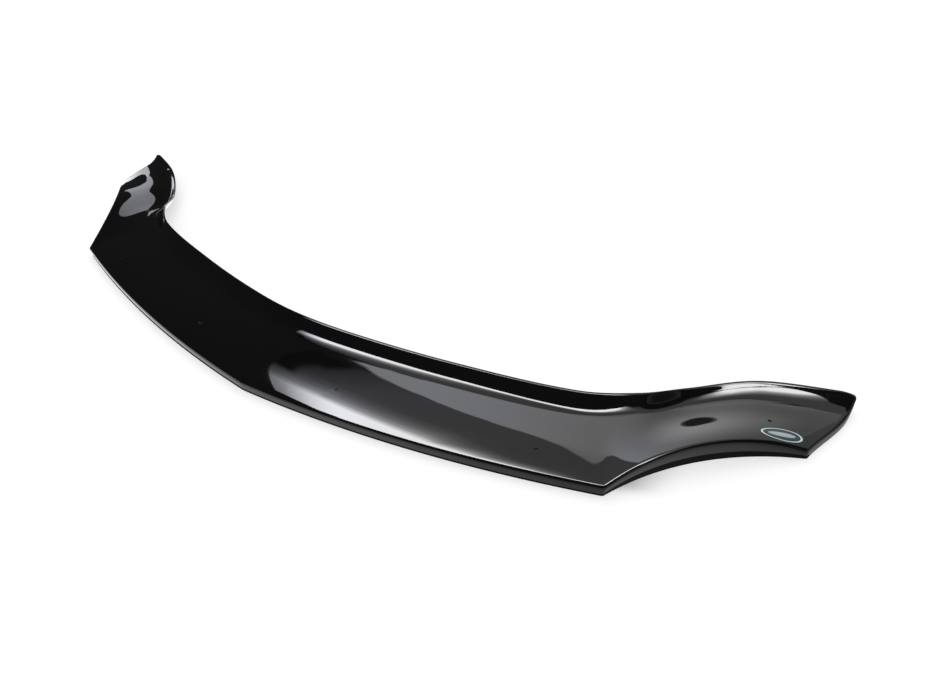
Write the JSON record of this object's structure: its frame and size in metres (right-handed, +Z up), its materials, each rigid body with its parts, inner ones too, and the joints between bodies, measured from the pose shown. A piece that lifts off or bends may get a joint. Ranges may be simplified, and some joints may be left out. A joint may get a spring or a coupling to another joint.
{
  "type": "hood bug deflector",
  "caption": "Glossy black formed acrylic hood deflector with an upswept rear rim, a turned-down front lip, wings arched over the lamps, and drilled screw holes.",
  "frame": {"origin": "on the level of the trimmed lower edge, in the part's mirror plane, half way from the nose to the rearmost point of the rim", "axes": "+X across the vehicle, -Y towards the front, +Z up"},
  "size_m": [1.4146, 0.4152, 0.0595],
  "materials": {
    "shield": "gloss"
  },
  "bodies": {
    "root": {"shield": "shield"}
  },
  "joints": []
}
